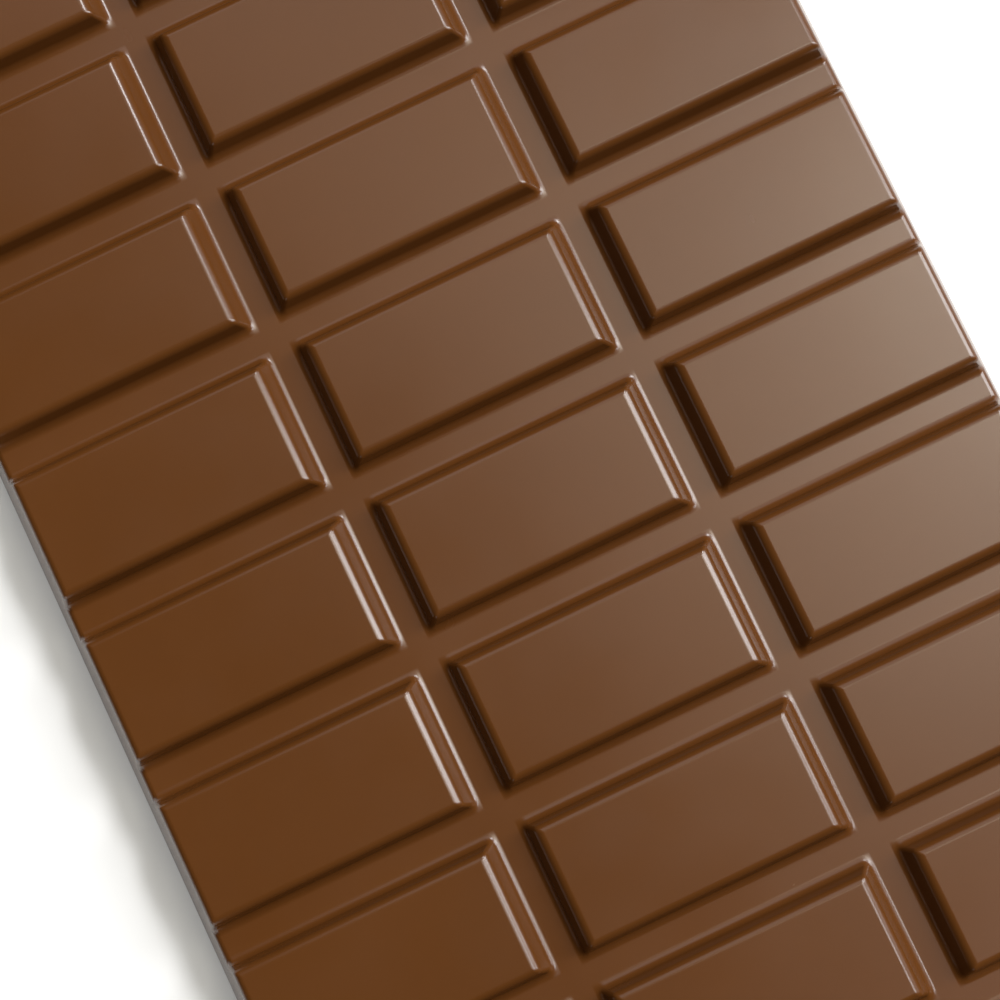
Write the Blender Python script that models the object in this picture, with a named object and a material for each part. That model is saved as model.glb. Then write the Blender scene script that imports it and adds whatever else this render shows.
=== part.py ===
"""A moulded milk chocolate bar, lying on its flat back with its pips up.

The bar is one solid: a slab with drafted flanks, and on it a grid of long pips
divided by channels. Every length is in metres. X runs across the bar, Y along
it and Z up, with the origin in the middle of the underside.
"""

import math

import bmesh
import bpy

COLUMNS = 3
ROWS = 12
COLUMN_PITCH = 0.0240
ROW_PITCH = 0.0131
THICKNESS = 0.0080  # underside to the pips' tops
RELIEF = 0.0019  # pips' tops above the channels' floors

RIM_SETBACK = 0.00135  # the outermost feet, in from the outer edge of the grid
COLUMN_CHANNEL = 0.00236  # width of a lengthwise channel's floor, foot to foot
ROW_CHANNEL = 0.00266  # width of a crosswise channel's floor, foot to foot
PIP_SIDE_SLOPE = math.radians(66)  # of the pips' short walls, from level
PIP_END_SLOPE = math.radians(74)  # of the pips' long walls, from level
FLANK_DRAFT = math.radians(16.2)  # of the bar's outer sides, from upright

# How far each rounding reaches from its sharp edge
TOP_ROUNDING = 0.00058  # round each pip's top
SIDE_FILLET = 0.00042  # where a pip's short wall meets the channel's floor
END_FILLET = 0.00060  # where a pip's long wall meets the channel's floor
CORNER_ROUNDING = 0.00030  # between two walls of a pip
LIP_ROUNDING = 0.00048  # where a channel runs out over a flank
BAR_CORNER_ROUNDING = 0.00080  # between two flanks, and the largest
BACK_ROUNDING = 0.00030  # round the underside
ROUNDING_SEGMENTS = 2

CHOCOLATE_COLOUR = (0.156, 0.063, 0.025, 1.0)
CHOCOLATE_ROUGHNESS = 0.24

LEVEL = 1e-6  # heights closer than this are the same
FLAT_ANGLE = math.radians(1)  # faces that meet flatter than this are one plane


def clear_scene():
    for thing in list(bpy.data.objects):
        bpy.data.objects.remove(thing, do_unlink=True)


def pip_edges(count, pitch, channel):
    """The places of the pips' feet along one axis, in rising order."""
    half = count * pitch / 2
    edges = [RIM_SETBACK - half]
    for index in range(1, count):
        middle = index * pitch - half
        edges += [middle - channel / 2, middle + channel / 2]
    return edges + [half - RIM_SETBACK]


def add_plan(model, x_edges, y_edges, height):
    """A level sheet of cells, and the cells that pips stand on."""
    corners = [[model.verts.new((x, y, height)) for x in x_edges] for y in y_edges]
    pip_cells = []
    for row in range(len(y_edges) - 1):
        for column in range(len(x_edges) - 1):
            near, far = corners[row], corners[row + 1]
            cell = model.faces.new((near[column], near[column + 1], far[column + 1], far[column]))
            if row % 2 == 0 and column % 2 == 0:
                pip_cells.append(cell)
    return pip_cells


def add_slab(model, x_edges, y_edges, height):
    """The drafted flanks and the flat back, below the sheet's outer edge."""
    flare = height * math.tan(FLANK_DRAFT)
    rim = [edge for edge in model.edges if edge.is_boundary]
    lowered = bmesh.ops.extrude_edge_only(model, edges=rim)["geom"]
    for vert in (item for item in lowered if isinstance(item, bmesh.types.BMVert)):
        if abs(vert.co.x) > x_edges[-1] - LEVEL:
            vert.co.x += math.copysign(flare, vert.co.x)
        if abs(vert.co.y) > y_edges[-1] - LEVEL:
            vert.co.y += math.copysign(flare, vert.co.y)
        vert.co.z = 0.0
    bottom = [edge for edge in model.edges if edge.is_boundary]
    bmesh.ops.contextual_create(model, geom=bottom)


def raise_pips(model, pip_cells, x_edges, y_edges):
    """Each pip's walls lean in, and an outer wall leans as the flank under it does."""
    flank_run = RELIEF * math.tan(FLANK_DRAFT)
    side_run = RELIEF / math.tan(PIP_SIDE_SLOPE)
    end_run = RELIEF / math.tan(PIP_END_SLOPE)
    raised = bmesh.ops.extrude_discrete_faces(model, faces=pip_cells)["faces"]
    for top in raised:
        middle = top.calc_center_median()
        for vert in top.verts:
            outer_x = abs(vert.co.x) > x_edges[-1] - LEVEL
            outer_y = abs(vert.co.y) > y_edges[-1] - LEVEL
            vert.co.x -= math.copysign(flank_run if outer_x else side_run, vert.co.x - middle.x)
            vert.co.y -= math.copysign(flank_run if outer_y else end_run, vert.co.y - middle.y)
            vert.co.z += RELIEF


def is_level(face):
    return abs(face.normal.z) > 1 - LEVEL


def join_flanks(model):
    """The coplanar pieces of each flank made one face."""
    flat = [
        edge
        for edge in model.edges
        if edge.calc_face_angle() < FLAT_ANGLE and not any(map(is_level, edge.link_faces))
    ]
    bmesh.ops.dissolve_edges(model, edges=flat, use_verts=True)
    straight = [
        vert
        for vert in model.verts
        if len(vert.link_edges) == 2 and vert.calc_edge_angle() < FLAT_ANGLE
    ]
    bmesh.ops.dissolve_verts(model, verts=straight)


def rounding_of(edge):
    """How far the rounding of an edge reaches, from the heights that it joins."""
    if edge.calc_face_angle() < FLAT_ANGLE:
        return 0.0
    low, high = sorted(vert.co.z for vert in edge.verts)
    if low > THICKNESS - LEVEL:
        return TOP_ROUNDING
    if high < LEVEL:
        return BACK_ROUNDING
    if low < LEVEL:
        return BAR_CORNER_ROUNDING
    if high > THICKNESS - LEVEL:
        return CORNER_ROUNDING
    if edge.is_convex:
        return LIP_ROUNDING
    start, end = (vert.co for vert in edge.verts)
    return SIDE_FILLET if abs(end.y - start.y) > abs(end.x - start.x) else END_FILLET


def weigh_edges(model):
    """Each edge's share of the largest rounding, which the Bevel modifier reads."""
    weight = model.edges.layers.float.new("bevel_weight_edge")
    for edge in model.edges:
        edge[weight] = rounding_of(edge) / BAR_CORNER_ROUNDING


def chocolate():
    material = bpy.data.materials.new("milk_chocolate")
    material.use_nodes = True
    shader = material.node_tree.nodes["Principled BSDF"]
    shader.inputs["Base Color"].default_value = CHOCOLATE_COLOUR
    shader.inputs["Roughness"].default_value = CHOCOLATE_ROUGHNESS
    shader.inputs["Metallic"].default_value = 0.0
    return material


def make_bar():
    x_edges = pip_edges(COLUMNS, COLUMN_PITCH, COLUMN_CHANNEL)
    y_edges = pip_edges(ROWS, ROW_PITCH, ROW_CHANNEL)
    floor_height = THICKNESS - RELIEF

    model = bmesh.new()
    pip_cells = add_plan(model, x_edges, y_edges, floor_height)
    add_slab(model, x_edges, y_edges, floor_height)
    raise_pips(model, pip_cells, x_edges, y_edges)
    bmesh.ops.recalc_face_normals(model, faces=model.faces)
    join_flanks(model)
    weigh_edges(model)

    mesh = bpy.data.meshes.new("chocolate_bar")
    model.to_mesh(mesh)
    model.free()
    mesh.materials.append(chocolate())
    mesh.shade_smooth()
    bar = bpy.data.objects.new("chocolate_bar", mesh)
    bpy.context.collection.objects.link(bar)

    rounding = bar.modifiers.new("roundings", "BEVEL")
    rounding.limit_method = "WEIGHT"
    rounding.offset_type = "OFFSET"
    rounding.width = BAR_CORNER_ROUNDING
    rounding.segments = ROUNDING_SEGMENTS
    rounding.use_clamp_overlap = False
    return bar


clear_scene()
make_bar()
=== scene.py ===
import math

import bpy
from mathutils import Euler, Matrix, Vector


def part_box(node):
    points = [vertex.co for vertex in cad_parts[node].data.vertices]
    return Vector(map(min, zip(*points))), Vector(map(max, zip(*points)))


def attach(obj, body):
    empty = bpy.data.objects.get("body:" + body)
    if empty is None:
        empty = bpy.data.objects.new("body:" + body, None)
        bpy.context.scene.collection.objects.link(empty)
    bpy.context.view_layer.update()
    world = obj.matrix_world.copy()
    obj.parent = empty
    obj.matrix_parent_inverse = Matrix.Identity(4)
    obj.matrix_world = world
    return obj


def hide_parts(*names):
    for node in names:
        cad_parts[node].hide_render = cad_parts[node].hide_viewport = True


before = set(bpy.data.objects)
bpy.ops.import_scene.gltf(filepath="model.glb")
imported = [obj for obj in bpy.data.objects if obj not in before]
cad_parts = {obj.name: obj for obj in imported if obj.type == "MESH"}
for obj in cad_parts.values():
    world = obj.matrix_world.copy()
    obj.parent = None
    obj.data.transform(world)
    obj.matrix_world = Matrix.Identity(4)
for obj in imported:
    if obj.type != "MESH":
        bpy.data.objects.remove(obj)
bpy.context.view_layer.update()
scene = bpy.context.scene
print("frame loaded:", sorted(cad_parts))


def startFresh():
    # nothing stays selected, so an operator only meets what it is meant for
    if bpy.context.object and bpy.context.object.mode != "OBJECT":
        bpy.ops.object.mode_set(mode="OBJECT")
    bpy.ops.object.select_all(action="DESELECT")


def pick(piece, kind, wanted):
    # selects the faces or vertices that pass the test, and leaves edit mode on
    bpy.ops.object.mode_set(mode="EDIT")
    bpy.ops.mesh.select_mode(type=kind)
    bpy.ops.mesh.select_all(action="DESELECT")
    bpy.ops.object.mode_set(mode="OBJECT")
    for part in piece.data.polygons if kind == "FACE" else piece.data.vertices:
        part.select = wanted(part)
    bpy.ops.object.mode_set(mode="EDIT")


def pickFaces(piece, wanted):
    pick(piece, "FACE", wanted)


def pickVerts(piece, wanted):
    pick(piece, "VERT", wanted)


def applyAll(piece):
    bpy.ops.object.mode_set(mode="OBJECT")
    for modifier in list(piece.modifiers):
        bpy.ops.object.modifier_apply(modifier=modifier.name)


barSettings = {
    "columns": 3,
    "rows": 12,
    "columnPitch": 0.0240,      # metres, as every length here
    "rowPitch": 0.0131,
    "relief": 0.0019,           # pip tops above the channel floors
    "rimSetback": 0.00135,      # outermost feet, in from the grid's outer edge
    "columnChannel": 0.00236,   # floor width between columns
    "rowChannel": 0.00266,      # floor width between rows
    "sideSlope": 66,            # short walls of a pip, degrees from level
    "endSlope": 74,             # long walls of a pip
    "draft": 16.2,              # outer flanks, degrees from upright
    "topRounding": 0.00052,     # round each pip's top
    "sideFillet": 0.00042,      # foot of a pip's short wall
    "endFillet": 0.00060,       # foot of a pip's long wall
    "cornerRounding": 0.00030,  # between two walls of a pip
    "lipRounding": 0.00048,     # where a channel runs out over a flank
    "barCorner": 0.00080,       # between two flanks, the widest rounding
    "backRounding": 0.00034,    # round the underside
    "segments": 6,              # steps in each rounding
    "near": 0.00001,            # closer than this counts as the same place
    "flatAngle": 1,             # faces that meet flatter than this are one, degrees
    "wallRise": 0.5,            # a normal that rises less than this is a wall's
}


def pipLines(count, pitch, channel, setback):
    # where the feet of the pips run, one axis at a time
    half = count * pitch / 2
    lines = [setback - half]
    for index in range(1, count):
        middle = index * pitch - half
        lines += [middle - channel / 2, middle + channel / 2]
    return lines + [half - setback]


def makeBar(s):
    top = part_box("chocolate_bar")[1].z
    floor = top - s["relief"]
    near = s["near"]
    xLines = pipLines(s["columns"], s["columnPitch"], s["columnChannel"], s["rimSetback"])
    yLines = pipLines(s["rows"], s["rowPitch"], s["rowChannel"], s["rimSetback"])
    draft = math.tan(math.radians(s["draft"]))
    sideRun = s["relief"] / math.tan(math.radians(s["sideSlope"]))
    endRun = s["relief"] / math.tan(math.radians(s["endSlope"]))
    flankRun = s["relief"] * draft

    # slab, with its sides flared down to the back
    startFresh()
    bpy.ops.mesh.primitive_cube_add(size=1, location=(0, 0, floor / 2))
    bar = bpy.context.object
    bar.name = "milkChocolateBar"
    bar.scale = (2 * xLines[-1], 2 * yLines[-1], floor)
    bpy.ops.object.transform_apply(location=True, rotation=True, scale=True)
    flare = floor * draft
    for axis, line in ((0, xLines[-1]), (1, yLines[-1])):
        for side in (-1, 1):
            move = [0.0, 0.0, 0.0]
            move[axis] = side * flare
            pickVerts(bar, lambda v: v.co.z < near and side * v.co[axis] > 0)
            bpy.ops.transform.translate(value=move)

    # the mould's grid, cut into the top face only
    for axis, lines in ((0, xLines), (1, yLines)):
        normal = (1, 0, 0) if axis == 0 else (0, 1, 0)
        for line in lines[1:-1]:
            place = [0.0, 0.0, 0.0]
            place[axis] = line
            pickFaces(bar, lambda f: f.center.z > floor - near)
            bpy.ops.mesh.bisect(plane_co=place, plane_no=normal)

    # pips drawn up from their cells
    def isPip(face):
        if face.center.z < floor - near:
            return False
        column = sum(face.center.x > line for line in xLines) - 1
        row = sum(face.center.y > line for line in yLines) - 1
        return column % 2 == 0 and row % 2 == 0

    pickFaces(bar, isPip)
    bpy.ops.mesh.inset(thickness=endRun, depth=0, use_individual=True, use_boundary=True)
    bpy.ops.transform.translate(value=(0, 0, s["relief"]))
    for lines, axis, innerRun in ((xLines, 0, sideRun), (yLines, 1, endRun)):
        for index, line in enumerate(lines):
            outward = -1 if index % 2 == 0 else 1
            run = flankRun if index in (0, len(lines) - 1) else innerRun
            if run == endRun:
                continue  # the inset gave this wall its lean
            now = line - outward * endRun
            move = [0.0, 0.0, 0.0]
            move[axis] = outward * (endRun - run)
            pickVerts(bar, lambda v: v.co.z > top - near and abs(v.co[axis] - now) < near)
            bpy.ops.transform.translate(value=move)

    # flank pieces that lie in one plane become one face
    bpy.ops.object.mode_set(mode="EDIT")
    bpy.ops.mesh.select_all(action="SELECT")
    bpy.ops.mesh.normals_make_consistent(inside=False)
    pickFaces(bar, lambda f: abs(f.normal.z) < s["wallRise"])
    bpy.ops.mesh.dissolve_limited(
        angle_limit=math.radians(s["flatAngle"]),
        use_dissolve_boundaries=False,
        delimit=set(),
    )
    print("bar blocked out:", len(bar.data.polygons), "faces")

    # each kind of edge gets its own share of the widest rounding
    def onRim(point):
        return abs(point.x) > xLines[-1] - near or abs(point.y) > yLines[-1] - near

    def kindOf(a, b):
        lower, upper = sorted((a.z, b.z))
        if lower > top - near:
            return "topRounding"
        if upper < near:
            return "backRounding"
        if lower < near:
            return "barCorner"
        if upper > top - near:
            return "cornerRounding"
        if onRim(a) and onRim(b):
            return "lipRounding"
        return "sideFillet" if abs(a.y - b.y) > abs(a.x - b.x) else "endFillet"

    bpy.ops.object.mode_set(mode="OBJECT")
    weights = bar.data.attributes.new("bevel_weight_edge", "FLOAT", "EDGE")
    verts = bar.data.vertices
    for edge in bar.data.edges:
        a, b = (verts[i].co for i in edge.vertices)
        weights.data[edge.index].value = s[kindOf(a, b)] / s["barCorner"]

    rounding = bar.modifiers.new("roundings", "BEVEL")
    rounding.limit_method = "WEIGHT"
    rounding.offset_type = "OFFSET"
    rounding.width = s["barCorner"]
    rounding.segments = s["segments"]
    rounding.use_clamp_overlap = False
    rounding.harden_normals = True  # large flats stay flat in the light
    bpy.ops.object.shade_smooth()
    applyAll(bar)
    print("bar rounded:", len(bar.data.polygons), "faces")
    return bar


chocolateSettings = {
    "deepCocoa": (0.0905, 0.0300, 0.0058, 1),
    "milkCocoa": (0.0995, 0.0335, 0.0068, 1),
    # lighter colour for convex edges: a painted highlight of light caught in the rims
    "paintedEdgeHighlight": (0.114, 0.041, 0.0095, 1),
    "edgeAmount": 0.03,           # how much of the painted highlight colour the edges take
    "edgeSpan": (0.505, 0.56),    # pointiness at which it starts and is full
    "roughness": 0.25,
    "sheenSpan": (0.92, 1.10),    # times the roughness, glossy to dull
    "speckleSpan": (0.97, 1.03),  # times the colour's value
    "cloudScale": 55.0,           # broad tempering clouds, per metre
    "smudgeScale": 140.0,         # where the mould left it a little duller
    "cloudSpan": (0.2, 0.8),      # noise at which a cloud starts and is full
    "cloudDetail": 3.0,
    "cloudBreakup": 0.5,
    "grainScale": 900.0,          # fine cocoa speckle
    "grainDetail": 4.0,
    "grainBreakup": 0.65,
    "grainDepth": 0.0000012,      # metres
    "rippleScale": 90.0,          # slow ripple that the mould left
    "rippleDetail": 1.0,
    "rippleDepth": 0.000005,
}


def newGroup(name, inputs, outputs):
    group = bpy.data.node_groups.new(name, "ShaderNodeTree")
    for label, kind, value in inputs:
        socket = group.interface.new_socket(name=label, in_out="INPUT", socket_type=kind)
        if value is not None:
            socket.default_value = value
    for label, kind in outputs:
        group.interface.new_socket(name=label, in_out="OUTPUT", socket_type=kind)
    return group, group.nodes.new("NodeGroupInput"), group.nodes.new("NodeGroupOutput")


def setSpan(node, side, span):
    # the two ends of a Map Range, on its From side or its To side
    node.inputs[side + " Min"].default_value, node.inputs[side + " Max"].default_value = span


def makeCloudGroup(s):
    # slow clouds of tone, as tempered chocolate has
    group, given, made = newGroup(
        "temperClouds",
        [("Vector", "NodeSocketVector", None), ("Scale", "NodeSocketFloat", s["cloudScale"])],
        [("Cloud", "NodeSocketFloat")],
    )
    noise = group.nodes.new("ShaderNodeTexNoise")
    noise.inputs["Detail"].default_value = s["cloudDetail"]
    noise.inputs["Roughness"].default_value = s["cloudBreakup"]
    spread = group.nodes.new("ShaderNodeMapRange")
    spread.interpolation_type = "SMOOTHSTEP"
    setSpan(spread, "From", s["cloudSpan"])
    link = group.links.new
    link(given.outputs["Vector"], noise.inputs["Vector"])
    link(given.outputs["Scale"], noise.inputs["Scale"])
    link(noise.outputs["Fac"], spread.inputs["Value"])
    link(spread.outputs["Result"], made.inputs["Cloud"])
    return group


def makeGrainGroup(s):
    # fine speckle of cocoa and milk solids
    group, given, made = newGroup(
        "cocoaGrain",
        [("Vector", "NodeSocketVector", None), ("Scale", "NodeSocketFloat", s["grainScale"])],
        [("Grain", "NodeSocketFloat")],
    )
    noise = group.nodes.new("ShaderNodeTexNoise")
    noise.inputs["Detail"].default_value = s["grainDetail"]
    noise.inputs["Roughness"].default_value = s["grainBreakup"]
    link = group.links.new
    link(given.outputs["Vector"], noise.inputs["Vector"])
    link(given.outputs["Scale"], noise.inputs["Scale"])
    link(noise.outputs["Fac"], made.inputs["Grain"])
    return group


def makeEdgeGroup(s):
    # outer edges painted a little lighter, a painted highlight where the rounded rims catch
    # the light
    group, given, made = newGroup(
        "paintedEdgeGlow",
        [("Amount", "NodeSocketFloat", s["edgeAmount"])],
        [("Edge", "NodeSocketFloat")],
    )
    shape = group.nodes.new("ShaderNodeNewGeometry")
    spread = group.nodes.new("ShaderNodeMapRange")
    setSpan(spread, "From", s["edgeSpan"])
    scale = group.nodes.new("ShaderNodeMath")
    scale.operation = "MULTIPLY"
    link = group.links.new
    link(shape.outputs["Pointiness"], spread.inputs["Value"])
    link(spread.outputs["Result"], scale.inputs[0])
    link(given.outputs["Amount"], scale.inputs[1])
    link(scale.outputs["Value"], made.inputs["Edge"])
    return group


def makeSurfaceGroup(s):
    # the mould's slow ripple and the fine grain, as one height
    group, given, made = newGroup(
        "mouldedSurface",
        [
            ("Vector", "NodeSocketVector", None),
            ("Ripple Scale", "NodeSocketFloat", s["rippleScale"]),
            ("Ripple Depth", "NodeSocketFloat", s["rippleDepth"]),
            ("Grain", "NodeSocketFloat", None),
            ("Grain Depth", "NodeSocketFloat", s["grainDepth"]),
        ],
        [("Height", "NodeSocketFloat")],
    )
    ripple = group.nodes.new("ShaderNodeTexNoise")
    ripple.inputs["Detail"].default_value = s["rippleDetail"]

    def times(a, b):
        node = group.nodes.new("ShaderNodeMath")
        node.operation = "MULTIPLY"
        group.links.new(a, node.inputs[0])
        group.links.new(b, node.inputs[1])
        return node.outputs["Value"]

    link = group.links.new
    link(given.outputs["Vector"], ripple.inputs["Vector"])
    link(given.outputs["Ripple Scale"], ripple.inputs["Scale"])
    both = group.nodes.new("ShaderNodeMath")
    both.operation = "ADD"
    link(times(ripple.outputs["Fac"], given.outputs["Ripple Depth"]), both.inputs[0])
    link(times(given.outputs["Grain"], given.outputs["Grain Depth"]), both.inputs[1])
    link(both.outputs["Value"], made.inputs["Height"])
    return group


def makeChocolate(s):
    material = bpy.data.materials.new("milkChocolate")
    material.use_nodes = True
    nodes = material.node_tree.nodes
    link = material.node_tree.links.new
    shader = nodes["Principled BSDF"]
    place = nodes.new("ShaderNodeTexCoord").outputs["Object"]

    def use(group, values):
        node = nodes.new("ShaderNodeGroup")
        node.node_tree = group
        if "Vector" in node.inputs:
            link(place, node.inputs["Vector"])
        for label, value in values.items():
            node.inputs[label].default_value = value
        return node

    def mixed(amount, first, second):
        # a Mix node's colour sockets share their names, so they go by place
        node = nodes.new("ShaderNodeMix")
        node.data_type = "RGBA"
        amountIn, firstIn, secondIn, colourOut = 0, 6, 7, 2
        link(amount, node.inputs[amountIn])
        for socket, colour in ((node.inputs[firstIn], first), (node.inputs[secondIn], second)):
            if isinstance(colour, tuple):
                socket.default_value = colour
            else:
                link(colour, socket)
        return node.outputs[colourOut]

    cloudGroup = makeCloudGroup(s)
    cloud = use(cloudGroup, {"Scale": s["cloudScale"]})
    smudge = use(cloudGroup, {"Scale": s["smudgeScale"]})
    grain = use(makeGrainGroup(s), {"Scale": s["grainScale"]})
    edge = use(makeEdgeGroup(s), {"Amount": s["edgeAmount"]})

    # colour
    tone = mixed(cloud.outputs["Cloud"], s["deepCocoa"], s["milkCocoa"])
    # convex edges mixed toward the lighter colour, a painted highlight
    edgeHighlighted = mixed(edge.outputs["Edge"], tone, s["paintedEdgeHighlight"])
    speckle = nodes.new("ShaderNodeHueSaturation")
    speckleValue = nodes.new("ShaderNodeMapRange")
    setSpan(speckleValue, "To", s["speckleSpan"])
    link(grain.outputs["Grain"], speckleValue.inputs["Value"])
    link(speckleValue.outputs["Result"], speckle.inputs["Value"])
    link(edgeHighlighted, speckle.inputs["Color"])
    link(speckle.outputs["Color"], shader.inputs["Base Color"])

    # gloss
    sheen = nodes.new("ShaderNodeMapRange")
    setSpan(sheen, "To", [s["roughness"] * share for share in s["sheenSpan"]])
    link(smudge.outputs["Cloud"], sheen.inputs["Value"])
    link(sheen.outputs["Result"], shader.inputs["Roughness"])

    # relief too fine to model
    surface = use(
        makeSurfaceGroup(s),
        {
            "Ripple Scale": s["rippleScale"],
            "Ripple Depth": s["rippleDepth"],
            "Grain Depth": s["grainDepth"],
        },
    )
    link(grain.outputs["Grain"], surface.inputs["Grain"])
    bump = nodes.new("ShaderNodeBump")
    bump.inputs["Strength"].default_value = 1  # the heights are already in metres
    bump.inputs["Distance"].default_value = 1
    link(surface.outputs["Height"], bump.inputs["Height"])
    link(bump.outputs["Normal"], shader.inputs["Normal"])
    return material


floorSettings = {
    "size": 6,
    "paper": (0.85, 0.85, 0.85, 1),
    "roughness": 0.9,
    "glow": 0.16,  # lifts the paper to white with little more light on the bar
    "glowColour": (1, 1, 1, 1),
}


def makeFloor(s):
    startFresh()
    bpy.ops.mesh.primitive_plane_add(size=s["size"], location=(0, 0, 0))
    floor = bpy.context.object
    floor.name = "floor"
    paper = bpy.data.materials.new("palePaper")
    paper.use_nodes = True
    shader = paper.node_tree.nodes["Principled BSDF"]
    shader.inputs["Base Color"].default_value = s["paper"]
    shader.inputs["Roughness"].default_value = s["roughness"]
    shader.inputs["Emission Color"].default_value = s["glowColour"]
    shader.inputs["Emission Strength"].default_value = s["glow"]
    floor.data.materials.append(paper)


# each softbox: azimuth and elevation in degrees, width and height in metres, strength, colour
lightSettings = {
    "distance": 1.2,   # metres from the bar's middle
    "sky": 0.01,       # what the surroundings add to the light
    "backdrop": 0.90,  # how bright they look behind the floor
    "white": (1, 1, 1),
    "warm": (1, 0.955, 0.81),
    "softboxes": {
        "keySoftbox": (3, 50, 0.28, 0.44, 1.64, "white"),
        "leftSoftbox": (40, 50, 0.20, 0.18, 1.17, "white"),
        "rightSoftbox": (-26, 55, 0.26, 0.18, 0.57, "white"),
        "sidePanel": (0, 30, 0.40, 0.30, 1.30, "white"),
        "overheadPanel": (14, 75, 0.52, 0.48, 0.37, "warm"),
        "overheadCore": (12, 67, 0.24, 0.24, 0.38, "warm"),
        "overheadFront": (-20, 72, 0.24, 0.24, 0.05, "warm"),
        "backPanel": (85, 50, 0.50, 0.60, 0.27, "white"),
        "backOverhead": (80, 70, 0.30, 0.30, 0.07, "warm"),
        "frontOverhead": (-70, 66, 0.28, 0.28, 0.06, "white"),
        "lowFrontStrip": (-125, 5, 0.42, 0.20, 0.18, "white"),
    },
}


def makeSoftbox(name, azimuth, elevation, width, height, strength, colour, distance):
    # it faces the bar's middle, and strength is what a surface facing it receives
    turn, rise = math.radians(azimuth), math.radians(elevation)
    reach = math.cos(rise)
    away = Vector((reach * math.cos(turn), reach * math.sin(turn), math.sin(rise)))
    lamp = bpy.data.lights.new(name, "AREA")
    lamp.shape = "RECTANGLE"
    lamp.size, lamp.size_y = width, height
    lamp.energy = math.pi * distance ** 2 * strength
    lamp.color = colour
    holder = bpy.data.objects.new(name, lamp)
    scene.collection.objects.link(holder)
    holder.location = away * distance
    holder.rotation_euler = (-away).to_track_quat("-Z", "Y").to_euler()
    holder.visible_camera = False


def makeLights(s):
    for name, (*values, tone) in s["softboxes"].items():
        makeSoftbox(name, *values, s[tone], s["distance"])
    sky = bpy.data.worlds.new("studio")
    sky.use_nodes = True
    nodes = sky.node_tree.nodes
    seen = nodes.new("ShaderNodeLightPath")
    level = nodes.new("ShaderNodeMapRange")
    setSpan(level, "To", (s["sky"], s["backdrop"]))
    sky.node_tree.links.new(seen.outputs["Is Camera Ray"], level.inputs["Value"])
    sky.node_tree.links.new(level.outputs["Result"], nodes["Background"].inputs["Strength"])
    nodes["Background"].inputs["Color"].default_value = (*s["white"], 1)
    scene.world = sky


cameraSettings = {
    "place": (-0.00347, -0.01776, 0.14674),  # metres
    "lean": (4.8375, 1.6389, -25.4473),      # degrees
    "lens": 68.4,                            # millimetres, as the sensor
    "sensor": 36,
    "clipStart": 0.01,
}


def makeCamera(s):
    data = bpy.data.cameras.new("camera")
    data.lens = s["lens"]
    data.sensor_width = s["sensor"]
    data.clip_start = s["clipStart"]
    camera = bpy.data.objects.new("camera", data)
    scene.collection.objects.link(camera)
    camera.location = s["place"]
    camera.rotation_euler = Euler([math.radians(angle) for angle in s["lean"]], "XYZ")
    scene.camera = camera


bar = makeBar(barSettings)
bar.data.materials.clear()
bar.data.materials.append(makeChocolate(chocolateSettings))
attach(bar, "root")
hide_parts("chocolate_bar")
print("chocolate on the bar")

makeFloor(floorSettings)
makeLights(lightSettings)
makeCamera(cameraSettings)
scene.view_settings.view_transform = "Standard"
print("floor, lights and camera placed")
